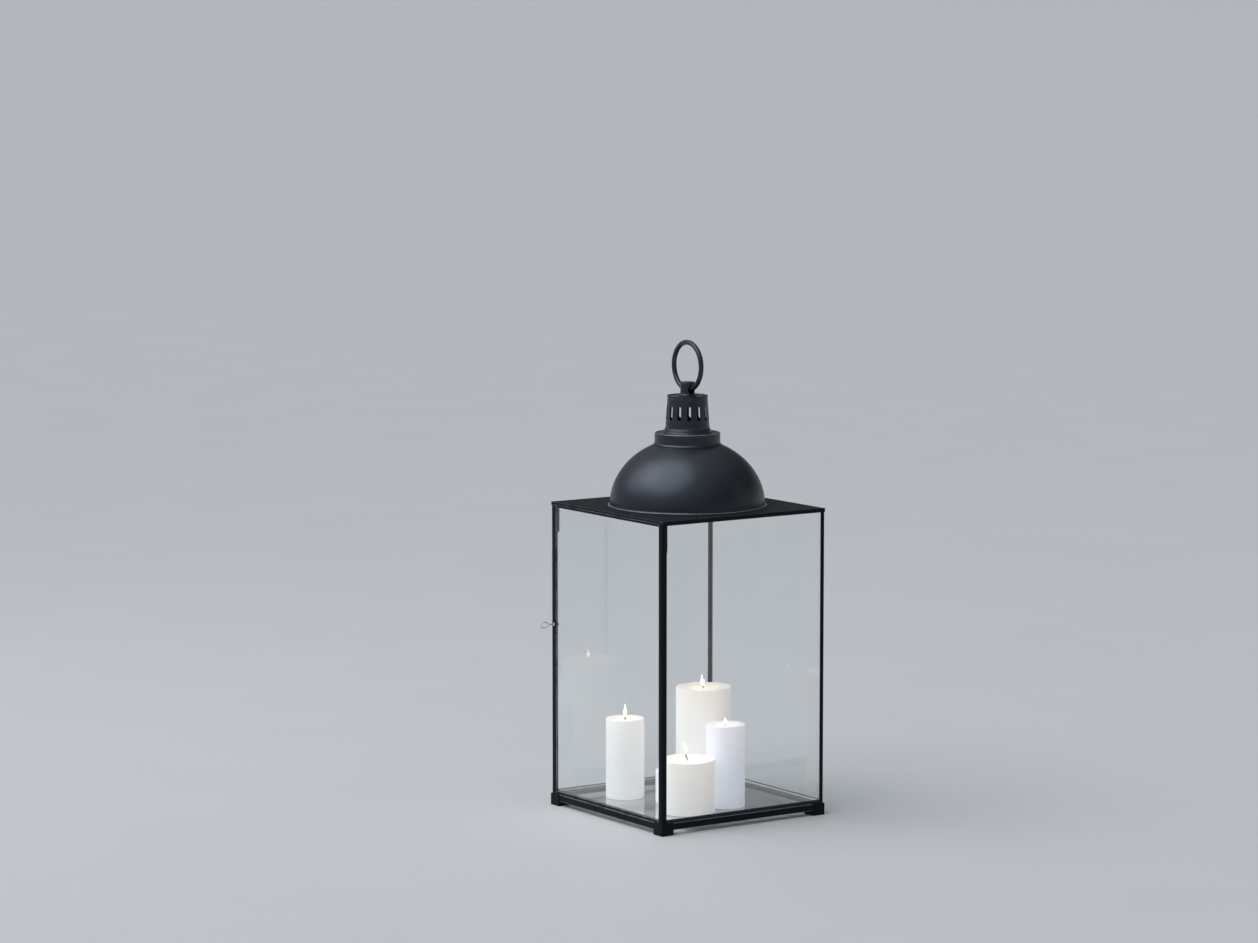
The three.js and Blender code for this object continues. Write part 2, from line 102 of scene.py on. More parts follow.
# A flame's lamp: watts for each millimetre of its height.
FLAME_POWER = 0.00018

# The bright part of the sky: its middle, and the strength and spread of its light.
SKY_MIDDLE = (-0.52, 0.02, 0.854)
SKY_POWER = 1.92
SKY_SPREAD = math.radians(62)

# The camera: metres, degrees and millimetres.
CAMERA = {"place": (-4.3362, -6.2100, 1.5181), "turn": 34.128, "tilt": 6.766, "lens": 120.94}


# ---- materials ----


class Look:
    """A node material: its Principled shader, and short calls that add the nodes which feed it."""

    def __init__(self, name, **values):
        self.material = bpy.data.materials.new(name)
        self.material.use_nodes = True
        self.nodes = self.material.node_tree.nodes
        self.links = self.material.node_tree.links
        self.shader = self.nodes["Principled BSDF"]
        self.output = self.nodes["Material Output"]
        self.place = self.add("TexCoord").outputs["Object"]
        self.feed(**values)

    def plug(self, socket, value):
        if isinstance(value, bpy.types.NodeSocket):
            self.links.new(value, socket)
        else:
            socket.default_value = value

    def feed(self, **values):
        """Sets or links the shader's inputs, named with _ for a space: Base_Color=..."""
        for name, value in values.items():
            self.plug(self.shader.inputs[name.replace("_", " ")], value)

    def add(self, kind, inputs=None, **settings):
        node = self.nodes.new("ShaderNode" + kind)
        for name, value in settings.items():
            setattr(node, name, value)
        for name, value in (inputs or {}).items():
            self.plug(node.inputs[name], value)
        return node

    def noise(self, scale, detail=2.0, rough=0.5, stretch=None):
        place = self.place
        if stretch:
            place = self.add("Mapping", {"Vector": place, "Scale": stretch}).outputs["Vector"]
        values = {"Vector": place, "Scale": scale, "Detail": detail, "Roughness": rough}
        return self.add("TexNoise", values).outputs["Fac"]

    def span(self, value, low, high, start=0.0, end=1.0):
        values = {"Value": value, "From Min": low, "From Max": high, "To Min": start, "To Max": end}
        return self.add("MapRange", values).outputs["Result"]

    def math(self, operation, a, b):
        return self.add("Math", {0: a, 1: b}, operation=operation).outputs[0]

    def mix(self, factor, a, b):
        inputs = {0: factor, 6: a, 7: b}
        return self.add("Mix", inputs, data_type="RGBA").outputs[2]

    def bump(self, height, distance, strength=1.0, normal=None):
        values = {"Height": height, "Distance": distance, "Strength": strength}
        if normal:
            values["Normal"] = normal
        return self.add("Bump", values).outputs["Normal"]


def rgb(red, green, blue):
    return (red, green, blue, 1.0)


COOL_SHINE = (0.76, 0.85, 1.0, 1.0)


def coat(name, dust, rough, shine, wear=0.55):
    """Matt black powder coat: fine orange peel, dust on what faces up, and wear where it bends."""
    look = Look(name, Specular_IOR_Level=shine, Specular_Tint=COOL_SHINE)
    geometry = look.add("NewGeometry")
    cloud = look.noise(24, 4, 0.6)
    grain = look.noise(900, 2)
    peel = look.noise(420, 3, 0.55)
    paint = look.mix(cloud, rgb(0.0027, 0.0032, 0.0043), rgb(0.0048, 0.0055, 0.0070))
    worn = look.span(geometry.outputs["Pointiness"], 0.53, 0.62, 0.0, wear)
    worn = look.math("MULTIPLY", worn, look.span(look.noise(160, 3), 0.35, 0.65))
    paint = look.mix(worn, paint, rgb(0.085, 0.088, 0.095))
    up = look.add("SeparateXYZ", {"Vector": geometry.outputs["Normal"]}).outputs["Z"]
    settled = look.math("MULTIPLY", look.span(up, 0.55, 1.0), look.span(look.noise(70, 5, 0.7), 0.38, 0.72))
    paint = look.mix(look.math("MULTIPLY", settled, dust), paint, rgb(0.23, 0.22, 0.20))
    speck = look.span(look.noise(1500, 1), 0.72, 0.80, 0.0, 0.25)
    paint = look.mix(speck, paint, rgb(0.05, 0.052, 0.056))
    broad = look.span(cloud, 0.3, 0.7, rough - 0.04, rough + 0.04)
    fine = look.span(grain, 0.3, 0.7, -0.02, 0.03)
    normal = look.bump(peel, 0.12 * MM, 0.55)
    normal = look.bump(grain, 0.03 * MM, 0.5, normal)
    look.feed(Base_Color=paint, Roughness=look.math("ADD", broad, fine), Normal=normal)
    return look.material


def glazing_strip():
    """The sills under the panes: coated outside; inside, a painted highlight along the top and painted
    shade below it.
    """
    look = Look("glazing_strip", Specular_IOR_Level=0.4, Specular_Tint=COOL_SHINE)
    normal = look.add("NewGeometry").outputs["Normal"]
    inward = look.add("VectorMath", {0: look.place, 1: normal}, operation="DOT_PRODUCT").outputs["Value"]
    height = look.add("SeparateXYZ", {"Vector": look.place}).outputs["Z"]
    inside = look.span(inward, -20 * MM, 0.0, 1.0, 0.0)
    stain = look.noise(55, 4, 0.65)
    brushed = look.noise(500, 3, 0.6)
    # Painted highlight along the top of the inner face and painted shade below it, both mottled by stain.
    top = look.span(height, SILL_HIGHLIGHT_Z - 0.4 * MM, SILL_HIGHLIGHT_Z + 0.4 * MM)
    painted_shade = look.mix(stain, rgb(0.09, 0.095, 0.10), rgb(0.14, 0.148, 0.155))
    painted_highlight = look.mix(stain, rgb(0.74, 0.78, 0.79), rgb(0.90, 0.93, 0.93))
    pale_tone = look.mix(top, painted_shade, painted_highlight)
    look.feed(
        Base_Color=look.mix(inside, rgb(0.0055, 0.006, 0.0075), pale_tone),
        Roughness=look.span(brushed, 0.3, 0.7, 0.36, 0.5),
        Normal=look.bump(brushed, 0.04 * MM, 0.5),
    )
    return look.material


def wear_and_edge_highlight():
    """The rubbed arris of a folded or sawn edge, with a painted highlight along it: paler and smoother than
    the coat, in broken runs.
    """
    look = Look("wear_and_edge_highlight", Specular_IOR_Level=0.6)
    runs = look.span(look.noise(34, 4, 0.65), 0.34, 0.54)
    rub_and_highlight = look.noise(700, 2)
    pale_tone = look.mix(rub_and_highlight, rgb(0.24, 0.25, 0.27), rgb(0.42, 0.43, 0.46))
    look.feed(
        Base_Color=look.mix(runs, rgb(0.022, 0.023, 0.026), pale_tone),
        Roughness=look.span(runs, 0.0, 1.0, 0.42, 0.3),
        Metallic=look.span(runs, 0.0, 1.0, 0.0, 0.4),
        Normal=look.bump(rub_and_highlight, 0.03 * MM, 0.5),
    )
    return look.material


def bright_steel():
    """Plain drawn wire: bright, lightly scratched along its length and dulled in patches."""
    look = Look("bright_steel", Metallic=1.0)
    drawn = look.noise(260, 3, 0.6, (0.25, 1, 1))
    patch = look.noise(90, 3)
    look.feed(
        Base_Color=look.mix(patch, rgb(0.42, 0.43, 0.45), rgb(0.66, 0.67, 0.68)),
        Roughness=look.span(drawn, 0.3, 0.7, 0.22, 0.42),
        Normal=look.bump(drawn, 0.05 * MM, 0.5),
    )
    return look.material


def clear_glass():
    """Clear glass, faintly green, with wiping streaks. Lamps shine through it without caustics."""
    look = Look("clear_glass", Transmission_Weight=1.0, IOR=1.5, Specular_IOR_Level=0.5)
    streak = look.noise(14, 4, 0.65, (1, 1, 0.35))
    wave = look.noise(5, 1, 0.4)
    look.feed(
        Base_Color=look.mix(streak, rgb(0.955, 0.970, 0.962), rgb(0.980, 0.988, 0.983)),
        Roughness=look.span(streak, 0.45, 0.75, 0.0, 0.035),
        Normal=look.bump(wave, 0.35 * MM, 0.25),
    )
    is_shadow = look.add("LightPath").outputs["Is Shadow Ray"]
    open_air = look.add("BsdfTransparent", {"Color": rgb(0.92, 0.94, 0.93)})
    lamp = look.add("MixShader", {0: is_shadow, 1: look.shader.outputs[0], 2: open_air.outputs[0]})
    look.plug(look.output.inputs["Surface"], lamp.outputs[0])
    return look.material


def wax(name, pale, deep):
    """Candle wax: a painted inner glow, faint clouding and pour marks, and a painted warm glow by the
    flame.
    """
    look = Look(
        name,
        Subsurface_Weight=0.75,
        Subsurface_Radius=(1.0, 0.72, 0.5),
        Subsurface_Scale=7 * MM,
        Specular_IOR_Level=0.4,
    )
    cloud = look.noise(38, 4, 0.6)
    pour = look.noise(26, 3, 0.5, (1, 1, 0.3))
    skin = look.noise(300, 3, 0.6)
    colour = look.mix(look.span(cloud, 0.3, 0.7), rgb(*pale), rgb(*deep))
    frost = look.span(look.noise(120, 4, 0.7), 0.55, 0.8, 0.0, 0.35)
    colour = look.mix(frost, colour, rgb(*[1.03 * tone for tone in pale]))
    normal = look.bump(pour, 0.5 * MM, 0.35)
    look.feed(
        Base_Color=colour,
        Roughness=look.span(skin, 0.3, 0.7, 0.38, 0.52),
        Normal=look.bump(skin, 0.06 * MM, 0.4, normal),
    )
    painted_glow(look, colour)
    return look.material


def painted_glow(look, colour):
    """Painted light: an emission that stands in for the light wax passes on from all round it, and from its
    flame as far as "glow" says.
    """
    glow = look.add("Attribute", attribute_name="glow").outputs["Fac"]
    look.feed(
        Emission_Color=look.mix(look.span(glow, 0.0, 0.6), colour, WARM),
        Emission_Strength=look.span(glow, 0.0, 1.0, WAX_PAINTED_DAYLIGHT_GLOW, WAX_PAINTED_DAYLIGHT_GLOW + WAX_PAINTED_FLAME_GLOW),
    )


def melted_wax():
    """The wet pool round a wick: glossier than the set wax, with a painted glow from the flame."""
    look = Look(
        "melted_wax",
        Subsurface_Weight=0.8,
        Subsurface_Radius=(1.0, 0.7, 0.4),
        Subsurface_Scale=6 * MM,
        Specular_IOR_Level=0.35,
    )
    swirl = look.noise(110, 3, 0.5)
    colour = look.mix(swirl, rgb(0.66, 0.64, 0.60), rgb(0.70, 0.685, 0.66))
    look.feed(
        Base_Color=colour,
        Roughness=look.span(swirl, 0.3, 0.7, 0.18, 0.28),
        Normal=look.bump(look.noise(60, 2), 0.2 * MM, 0.3),
    )
    painted_glow(look, colour)
    return look.material


def charred_cotton():
    """A braided wick: waxy and grey at its foot, charred black above."""
    look = Look("charred_cotton")
    height = look.add("SeparateXYZ", {"Vector": look.add("TexCoord").outputs["Generated"]}).outputs["Z"]
    twist = {"Vector": look.place, "Scale": 420.0, "Distortion": 3.0}
    strand = look.add("TexWave", twist, bands_direction="DIAGONAL").outputs["Fac"]
    charred = look.span(look.math("ADD", height, look.span(strand, 0.0, 1.0, -0.06, 0.06)), 0.22, 0.48)
    cotton = look.mix(strand, rgb(0.24, 0.19, 0.14), rgb(0.42, 0.36, 0.28))
    char = look.mix(strand, rgb(0.008, 0.007, 0.006), rgb(0.035, 0.03, 0.027))
    look.feed(
        Base_Color=look.mix(charred, cotton, char),
        Roughness=look.span(charred, 0.0, 1.0, 0.45, 0.9),
        Normal=look.bump(strand, 0.12 * MM, 0.8),
    )
    return look.material


def flame_core():
    """The bright inside of a flame: near white at its middle, warmer at the foot and the tip."""
    look = Look("flame_core")
    height = look.add("SeparateXYZ", {"Vector": look.add("TexCoord").outputs["Generated"]}).outputs["Z"]
    colour = look.mix(look.span(height, 0.0, 0.35), rgb(1.0, 0.70, 0.44), rgb(1.0, 0.93, 0.80))
    colour = look.mix(look.span(height, 0.6, 1.0), colour, rgb(1.0, 0.84, 0.60))
    power = look.span(height, 0.0, 0.3, 2.5, 9.0)
    light = look.add("Emission", {"Color": colour, "Strength": power})
    look.plug(look.output.inputs["Surface"], light.outputs[0])
    return look.material


def flame_veil():
    """The thin orange envelope round the core, clearest at its foot."""
    look = Look("flame_veil")
    height = look.add("SeparateXYZ", {"Vector": look.add("TexCoord").outputs["Generated"]}).outputs["Z"]
    colour = look.mix(look.span(height, 0.1, 0.7), rgb(1.0, 0.50, 0.20), rgb(1.0, 0.66, 0.28))
    light = look.add("Emission", {"Color": colour, "Strength": look.span(height, 0.0, 0.5, 0.8, 2.4)})
    clear = look.add("BsdfTransparent")
    flicker = look.span(look.noise(240, 2), 0.3, 0.7, 0.25, 0.45)
    share = look.math("MULTIPLY", flicker, look.span(height, 0.0, 0.4, 0.3, 1.0))
    both = look.add("MixShader", {0: share, 1: clear.outputs[0], 2: light.outputs[0]})
    look.plug(look.output.inputs["Surface"], both.outputs[0])
    return look.material


def studio_floor():
    look = Look("studio_floor", Specular_IOR_Level=0.3)
    cloud = look.noise(3, 4, 0.6)
    look.feed(
        Base_Color=look.mix(cloud, rgb(0.525, 0.522, 0.518), rgb(0.562, 0.559, 0.554)),
        Roughness=look.span(look.noise(60, 3), 0.3, 0.7, 0.55, 0.7),
        Normal=look.bump(look.noise(260, 4, 0.6), 0.4 * MM, 0.3),
    )
    return look.material


COAT = coat("powder_coat", 0.04, 0.35, 0.66)
COAT_BAR = coat("powder_coat_bar", 0.06, 0.5, 0.14, wear=0.0)
COAT_FLAT = coat("powder_coat_flat", 0.05, 0.62, 0.2, wear=0.0)
GLAZING_STRIP = glazing_strip()
# The paler edge finish: part wear, part painted highlight along rounded edges.
WEAR_AND_EDGE_HIGHLIGHT = wear_and_edge_highlight()
STEEL = bright_steel()
GLASS = clear_glass()
WAX = {
    "cool": wax("wax_cool", (0.66, 0.665, 0.67), (0.63, 0.637, 0.645)),
    "lilac": wax("wax_lilac", (0.64, 0.66, 0.72), (0.61, 0.63, 0.70)),
    "ivory": wax("wax_ivory", (0.675, 0.665, 0.65), (0.645, 0.64, 0.625)),
}
POOL = melted_wax()
WICK = charred_cotton()
FLAME_CORE = flame_core()
FLAME_VEIL = flame_veil()


# ---- mesh helpers ----


def piece(name, verts, faces, material, body, slot, replaces=(), sharp=CREASE):
    """A new smooth-shaded piece that rides on a CAD body, creased where it turns past sharp degrees."""
    mesh = bpy.data.meshes.new(name)
    mesh.from_pydata(verts, [], faces)
    mesh.materials.append(material)
    mesh.shade_smooth()
    mesh.set_sharp_from_angle(angle=math.radians(sharp))
    made = bpy.data.objects.new(name, mesh)
    bpy.context.scene.collection.objects.link(made)
    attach(made, body)
    if replaces:
        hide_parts(*replaces)
    return made


def rub_and_highlight(made, is_rubbed_or_lit):
    """Lays the paler edge finish, wear with a painted highlight, on the faces whose middle, as a radius and
    z, the given test picks out.
    """
    made.data.materials.append(WEAR_AND_EDGE_HIGHLIGHT)
    for face in made.data.polygons:
        if is_rubbed_or_lit(face.center.xy.length, face.center.z):
            face.material_index = 1


def arc(r, z, radius, start, end, steps):
    """Points of a circular arc in a radius, z section, from start to end degrees."""
    points = []
    for i in range(steps + 1):
        angle = math.radians(start + (end - start) * i / steps)
        points.append((r + radius * math.cos(angle), z + radius * math.sin(angle)))
    return points


def lathe(profile, segments, centre=(0.0, 0.0), shape=None):
    """A radius, z profile turned about an upright axis. It runs up the outside first, and either
    starts and ends on the axis or ends on its first point. shape(angle, r, z) may bend a point."""
    ring_closed = profile[0] == profile[-1]
    rows = profile[:-1] if ring_closed else profile
    verts, rings = [], []
    for r, z in rows:
        count = segments if r > 0 else 1
        rings.append(range(len(verts), len(verts) + count))
        for k in range(count):
            angle = 2 * math.pi * k / segments
            bent_r, bent_z = shape(angle, r, z) if shape else (r, z)
            x, y = centre[0] + bent_r * math.cos(angle), centre[1] + bent_r * math.sin(angle)
            verts.append((x, y, bent_z))
    pairs = list(zip(rings, rings[1:]))
    if ring_closed:
        pairs.append((rings[-1], rings[0]))
    faces = []
    for below, above in pairs:
        for k in range(segments):
            n = (k + 1) % segments
            corners = [below[k % len(below)], below[n % len(below)]]
            corners += [above[n % len(above)], above[k % len(above)]]
            faces.append(list(dict.fromkeys(corners)))
    return verts, faces


def sweep(path, radii, sides, loop=False):
    """A round bar along a path, with one radius for each point. An open bar has flat ends."""
    count = len(path)
    verts = []
    side = None
    for i, point in enumerate(path):
        ahead = path[(i + 1) % count] if loop or i + 1 < count else point
        behind = path[i - 1] if loop or i > 0 else point
        along = (ahead - behind).normalized()
        side = along.orthogonal() if side is None else side - along * side.dot(along)
        side.normalize()
        up = along.cross(side)
        for k in range(sides):
            angle = 2 * math.pi * k / sides
            verts.append(point + (side * math.cos(angle) + up * math.sin(angle)) * radii[i])
    faces = []
    for i in range(count if loop else count - 1):
        start, after = i * sides, (i + 1) % count * sides
        for k in range(sides):
            n = (k + 1) % sides
            faces.append((start + k, start + n, after + n, after + k))
    if not loop:
        faces.append(list(reversed(range(sides))))
        faces.append(list(range((count - 1) * sides, count * sides)))
    return verts, faces


def smooth_path(points, steps):
    """A Catmull-Rom curve through the points, with steps points between each two of them."""
    ends = [points[0] * 2 - points[1]] + points + [points[-1] * 2 - points[-2]]
    path = []
    for i in range(len(points) - 1):
        a, b, c, d = ends[i : i + 4]
        for k in range(steps):
            t = k / steps
            bend = (a * 2 - b * 5 + c * 4 - d) * t * t + (b * 3 - a - c * 3 + d) * t**3
            path.append(b + (c - a) * t / 2 + bend / 2)
    return path + [points[-1]]


def joined(*shapes):
    """Several verts, faces pairs as one."""
    verts, faces = [], []
    for more_verts, more_faces in shapes:
        start = len(verts)
        verts += more_verts
        faces += [[start + v for v in face] for face in more_faces]
    return verts, faces


def disc_size(node):
    """Half width, lowest z and highest z of a turned CAD node."""
    low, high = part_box(node)
    return (high.x - low.x) / 2, low.z, high.z


def smoothstep(t):
    t = min(max(t, 0.0), 1.0)
    return t * t * (3 - 2 * t)


# ---- the carried-over CAD nodes ----


def dress(names, material, kind, arris=None):
    """Gives CAD nodes their finish and the rounded edges of their kind, whose finish may be arris."""
    for name in names:
        node = NODES[name]
        node.material_slots[0].material = material
        weld = node.modifiers.new("weld", "WELD")
        weld.merge_threshold = 0.01 * MM
        ease = node.modifiers.new("ease", "BEVEL")
        ease.width = EASE[kind] * MM
        ease.segments = 2
        ease.limit_method = "ANGLE"
        ease.angle_limit = EASE_ANGLE
        ease.harden_normals = True
        if arris:
            node.data.materials.append(arris)
            ease.material = 1


def dress_frame():
    dress([f"post_{corner}" for corner in CORNERS], COAT_BAR, "post")
    bars = [f"{kind}_{side}" for kind in ("base_rail", "rim") for side in SIDES]
    bars += [f"door_{bar}" for bar in ("hinge_stile", "catch_stile", "top_rail", "bottom_rail")]
    # The bars' rounded edges take the paler finish: wear and a painted highlight.
    dress(bars, COAT_BAR, "bar", WEAR_AND_EDGE_HIGHLIGHT)
    blocks = [f"foot_{corner}" for corner in CORNERS]
    dress([*blocks, "catch_plate", "bracket_front_left", "bracket_back_left"], COAT_BAR, "block")
    dress(["roof_plate"], COAT_FLAT, "plate")
    dress(["sill_front", "sill_right", "sill_back", "door_sill"], GLAZING_STRIP, "sill", COAT_BAR)
    dress(["catch_tongue", "pivot_pin_lower", "pivot_pin_upper"], STEEL, "pin")
    dress(["floor_pane", "pane_front", "pane_right", "pane_back", "door_pane"], GLASS, "pane")


# ---- the turned roof parts ----


def add_dome():
    """A spun bowl with a thin turned-out flange at its foot and an open mouth under the collar."""
    half, foot, top = disc_size("dome")
    radius = half - DOME_FLANGE
    rise = (top - foot) / math.sqrt(1 - (DOME_MOUTH / radius) ** 2)
    fillet = 1.4 * MM
    lip_radius = 0.6 * MM
    lip_height = 2 * lip_radius

    def bowl(offset, steps):
        wide, tall = radius - offset, rise - offset
        start, end = math.asin(2 * fillet / tall), math.acos(DOME_MOUTH / wide)
        turns = [start + (end - start) * i / steps for i in range(steps + 1)]
        return [(wide * math.cos(t), foot + tall * math.sin(t)) for t in turns]

    lip = arc(half - lip_radius, foot + lip_radius, lip_radius, -90, 90, 8)
    cove = arc(radius + fillet, foot + lip_height + fillet, fillet, -90, -175, 7)
    outline = [(radius - SHELL_WALL, foot), *lip, *cove, *bowl(0, 44), *reversed(bowl(SHELL_WALL, 30))]
    verts, faces = lathe([*outline, outline[0]], 144)
    shell = piece("dome_shell", verts, faces, COAT, "frame", "coated", ["dome"])
    # Painted highlight, with some wear: the flange lip takes the paler edge finish.
    rub_and_highlight(shell, lambda r, z: r > half - lip_height)


def add_collar():
    """A spun ring: a hem flared over the dome, an upright side with a rolled edge, and a short
    neck that sweeps up to the vent cap."""
    half, foot, top = disc_size("collar")
    radius = half - COLLAR_HEM
    edge = top - COLLAR_NECK
    roll = 1.7 * MM
    hem_roll = 0.5 * MM
    flare_radius = 2.6 * MM
    sweep_radius = 5.2 * MM

    def at(inward, up, base):
        return (radius - inward * MM, base + up * MM)

    hem = [at(-2.0, 0, foot), *arc(half - hem_roll, foot + hem_roll, hem_roll, -60, 50, 5)]
    flare = arc(radius + flare_radius, foot + 4.3 * MM, flare_radius, -125, -180, 8)
    rim = arc(radius - roll, edge - roll, roll, 0, 105, 8)
    plateau = [at(3.4, -0.3, edge), at(4.3, -0.8, edge), at(5.2, -0.9, edge), at(11.5, -0.7, edge)]
    neck_foot = (radius - 12.0 * MM, edge - 0.6 * MM + sweep_radius)
    cove = arc(*neck_foot, sweep_radius, -95, -165, 8)
    crown = [at(17.9, 6.6, edge), at(18.4, -0.5, top), at(18.8, 0, top), (COLLAR_HOLE, top)]
    under = [(COLLAR_HOLE, edge + 4 * MM), at(19, 0.6, edge), at(16, -1.9, edge), at(4, -2.4, edge)]
    inside = [(radius - SHELL_WALL, edge - 4.4 * MM), (radius - SHELL_WALL, foot + 1.5 * MM)]
    outline = [*hem, *flare, *rim, *plateau, *cove, *crown, *under, *inside]
    verts, faces = lathe([*outline, outline[0]], 128)
    ring = piece("collar_ring", verts, faces, COAT, "frame", "coated", ["collar"])
    # Painted highlight, with some wear: the rolled edge takes the paler edge finish.
    rub_and_highlight(ring, lambda r, z: z > edge - 0.7 * MM and r > radius - 2.6 * MM)


def slot_outline(grow, count):
    """Points round one vent slot, anticlockwise from its right side, as offsets along and up."""
    round_end = SLOTS["width"] / 2 + grow
    straight = SLOTS["height"] / 2 - SLOTS["width"] / 2
    length = 4 * straight + 2 * math.pi * round_end
    points = []
    for i in range(count):
        at = length * i / count
        quarter = math.pi * round_end
        if at < straight:
            points.append((round_end, at))
        elif at < straight + quarter:
            turn = (at - straight) / round_end
            points.append((round_end * math.cos(turn), straight + round_end * math.sin(turn)))
        elif at < 3 * straight + quarter:
            points.append((-round_end, 2 * straight + quarter - at))
        elif at < 3 * straight + 2 * quarter:
            turn = math.pi + (at - 3 * straight - quarter) / round_end
            points.append((round_end * math.cos(turn), -straight + round_end * math.sin(turn)))
        else:
            points.append((round_end, at - length))
    return points


def frame_outline(points, left, right, low, high):
    """Where rays from the middle through each point leave the panel round a slot."""
    found = []
    for x, z in points:
        reach = []
        if x:
            reach.append((right if x > 0 else left) / x)
        if z:
            reach.append((high if z > 0 else low) / z)
        found.append((x * min(reach), z * min(reach)))
    return found


def add_vent_cap():
    """A tapered sleeve with round-ended slots, each with a softened edge."""
    lower, foot, top = disc_size("vent_cap")
    count, ring = SLOTS["count"], 48
    height = top - foot
    sector = 2 * math.pi / count
    mean = (lower + VENT_TOP_RADIUS) / 2
    edge = 0.35 * MM
    cut, eased = slot_outline(0, ring), slot_outline(edge, ring)
    half_panel = mean * sector / 2
    panel_low, panel_high = -SLOTS["middle"], height - SLOTS["middle"]
    panel = frame_outline(eased, -half_panel, half_panel, panel_low, panel_high)
    for corner_x in (-half_panel, half_panel):
        for corner_z in (panel_low, panel_high):
            want = (corner_x, corner_z)
            near = min(range(ring), key=lambda i: math.dist(panel[i], want))
            panel[near] = want
    verts, faces = [], []

    def lay(points, depth, turn):
        """Adds a loop of points, wrapped on the taper at a depth below its outer face."""
        start = len(verts)
        for along, up in points:
            z = SLOTS["middle"] + up
            radius = lower + (VENT_TOP_RADIUS - lower) * z / height - depth
            angle = turn + along / mean
            verts.append((radius * math.cos(angle), radius * math.sin(angle), foot + z))
        return start

    def between(share):
        pairs = zip(eased, panel)
        return [(a + (c - a) * share, b + (d - b) * share) for (a, b), (c, d) in pairs]

    wall = SHELL_WALL
    for n in range(count):
        turn = SLOTS["first"] + sector * n
        loops = [(panel, 0), (between(0.66), 0), (between(0.33), 0), (eased, 0), (cut, edge)]
        loops += [(cut, wall - edge), (eased, wall), (between(0.5), wall), (panel, wall)]
        starts = [lay(points, depth, turn) for points, depth in loops]
        for first, second in zip(starts, starts[1:]):
            for k in range(ring):
                m = (k + 1) % ring
                faces.append((first + k, first + m, second + m, second + k))
    made = piece("vent_sleeve", verts, faces, COAT, "frame", "coated", ["vent_cap"])
    close_seams(made)


def close_seams(made):
    """Merges points that lie on each other and caps what is left open along the upper and lower rims."""
    work = bmesh.new()
    work.from_mesh(made.data)
    bmesh.ops.remove_doubles(work, verts=work.verts, dist=0.02 * MM)
    inside_z = made.data.vertices[0].co.z
    upper_edges = [e for e in work.edges if e.is_boundary and e.verts[0].co.z > inside_z]
    bmesh.ops.bridge_loops(work, edges=upper_edges)
    open_edges = [e for e in work.edges if e.is_boundary]
    if open_edges:
        bmesh.ops.bridge_loops(work, edges=open_edges)
    bmesh.ops.recalc_face_normals(work, faces=work.faces)
    work.to_mesh(made.data)
    work.free()
    made.data.shade_smooth()
    made.data.set_sharp_from_angle(angle=math.radians(CREASE))


def add_cap_lid():
    radius, foot, top = disc_size("cap_lid")
    lip = 0.8 * MM
    edge = arc(radius - lip, foot + lip, lip, -90, 0, 4) + arc(radius - lip, top - lip, lip, 0, 180, 8)
    floor = [(radius - 2.6 * MM, top - 1.1 * MM), (0.5 * radius, top - 1.0 * MM), (0, top - 1.0 * MM)]
    verts, faces = lathe([(0, foot), *edge, *floor], 128)
    piece("cap_disc", verts, faces, COAT, "frame", "coated", ["cap_lid"])


def add_boss():
    """The turned stem on the lid, bored across for the ring."""
    half, foot, top = disc_size("boss")
    radius = half - BOSS_FLARE
    foot_roll, flare_radius, crown_radius = 0.5 * MM, 3.2 * MM, 1.8 * MM
    base = arc(half - foot_roll, foot + foot_roll, foot_roll, -90, 60, 4)
    flare = arc(radius + flare_radius, foot + 4.4 * MM, flare_radius, -95, -178, 7)
    crown = arc(radius - crown_radius, top - crown_radius, crown_radius, 0, 90, 6)
    waist = [(radius - 0.3 * MM, foot + 9 * MM), (radius, foot + 16 * MM)]
    verts, faces = lathe([(0, foot), *base, *flare, *waist, *crown, (0, top)], 96)
    boss = piece("ring_boss", verts, faces, COAT, "frame", "coated", ["boss"])

    low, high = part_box("ring_handle")
    ring_radius = (high.z - low.z) / 2 - RING_WIRE
    ring_low = low.z + RING_WIRE
    reach = radius + 3 * MM
    slack = 0.6 * MM
    stations = 12
    rows = []
    for i in range(stations + 1):
        y = -reach + 2 * reach * i / stations
        slope = math.asin(y / ring_radius)
        sag = ring_radius * (1 - math.cos(slope))
        rows.append((y, RING_WIRE / math.cos(slope) + sag + slack))
    bore_path = [Vector((0, y, ring_low)) for y, _ in rows]
    verts, faces = sweep(bore_path, [r for _, r in rows], 40)
    mesh = bpy.data.meshes.new("bore")
    mesh.from_pydata(verts, [], faces)
    bore = bpy.data.objects.new("bore", mesh)
    bpy.context.scene.collection.objects.link(bore)
    cut = boss.modifiers.new("bore", "BOOLEAN")
    cut.object = bore
    cut.solver = "EXACT"
    shaped = bpy.data.meshes.new_from_object(boss.evaluated_get(bpy.context.evaluated_depsgraph_get()))
    boss.modifiers.clear()
    boss.data = shaped
    bpy.data.objects.remove(bore)
    shaped.shade_smooth()
    shaped.set_sharp_from_angle(angle=math.radians(35))


def add_ring():
    low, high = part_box("ring_handle")
    middle = (low + high) / 2
    radius = (high.z - low.z) / 2 - RING_WIRE
    steps = 112
    turns = [2 * math.pi * i / steps for i in range(steps)]
    path = [middle + Vector((0, math.sin(t), -math.cos(t))) * radius for t in turns]
    verts, faces = sweep(path, [RING_WIRE] * steps, 28, loop=True)
    piece("ring_grip", verts, faces, COAT, "ring", "coated", ["ring_handle"])


